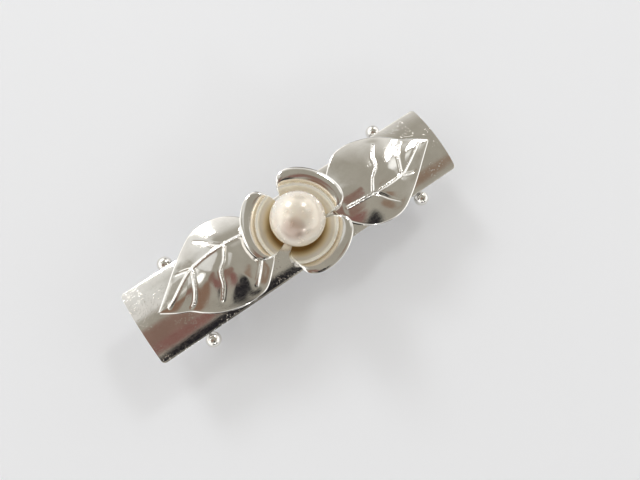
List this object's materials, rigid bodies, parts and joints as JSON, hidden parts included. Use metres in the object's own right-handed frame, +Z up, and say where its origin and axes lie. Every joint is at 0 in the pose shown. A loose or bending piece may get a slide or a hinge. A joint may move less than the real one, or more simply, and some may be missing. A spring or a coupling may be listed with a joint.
{
  "type": "flower hair clip",
  "caption": "Slim arched metal hair clip with a cupped flower, a pearl centre, two puffed leaves and a hinged clasp arm held by a pinch catch.",
  "frame": {"origin": "Centre of the flat underside of the clasp arm, under the middle of the top plate, on the surface the closed clip lies on.", "axes": "+Z up through the flower, +X along the top plate towards the catch, +Y towards the back edge of the plate."},
  "size_m": [0.05, 0.0152, 0.0159],
  "materials": {
    "polished_silver": "polished with fine scratches",
    "satin_silver": "satin",
    "spring_steel": "satin",
    "pearl_nacre": "lustrous nacre"
  },
  "bodies": {
    "clip": {"top_plate": "polished_silver", "leaf_right": "polished_silver", "leaf_left": "polished_silver", "petal_back_right": "polished_silver", "petal_back_left": "polished_silver", "petal_front": "polished_silver", "pearl": "pearl_nacre", "pearl_peg": "polished_silver", "pearl_cup": "polished_silver", "clasp_base": "satin_silver", "tension_bow": "spring_steel", "bow_rivet_left": "satin_silver", "bow_rivet_right": "satin_silver", "hinge_pin": "satin_silver", "hinge_ball_front": "polished_silver", "hinge_ball_back": "polished_silver", "catch_housing": "satin_silver", "catch_spring": "spring_steel"},
    "arm": {"clasp_arm": "satin_silver"},
    "front_slider": {"catch_slider_front": "satin_silver", "catch_ball_front": "polished_silver"},
    "back_slider": {"catch_slider_back": "satin_silver", "catch_ball_back": "polished_silver"}
  },
  "joints": [
    {"name": "arm_hinge", "type": "hinge", "parent": "clip", "child": "arm", "pos_m": [-0.0181, 0, 0.0052], "axis": [0, 1, 0], "range_deg": [0, 75]},
    {"name": "front_knob_press", "type": "slide", "parent": "clip", "child": "front_slider", "axis": [0, 1, 0], "range_m": [0, 0.00055], "stiffness_N_per_m": 150, "springref_m": -0.0006, "deforming": ["catch_spring"]},
    {"name": "back_knob_press", "type": "slide", "parent": "clip", "child": "back_slider", "axis": [0, -1, 0], "range_m": [0, 0.00055], "stiffness_N_per_m": 150, "springref_m": -0.0006, "deforming": ["catch_spring"]}
  ]
}
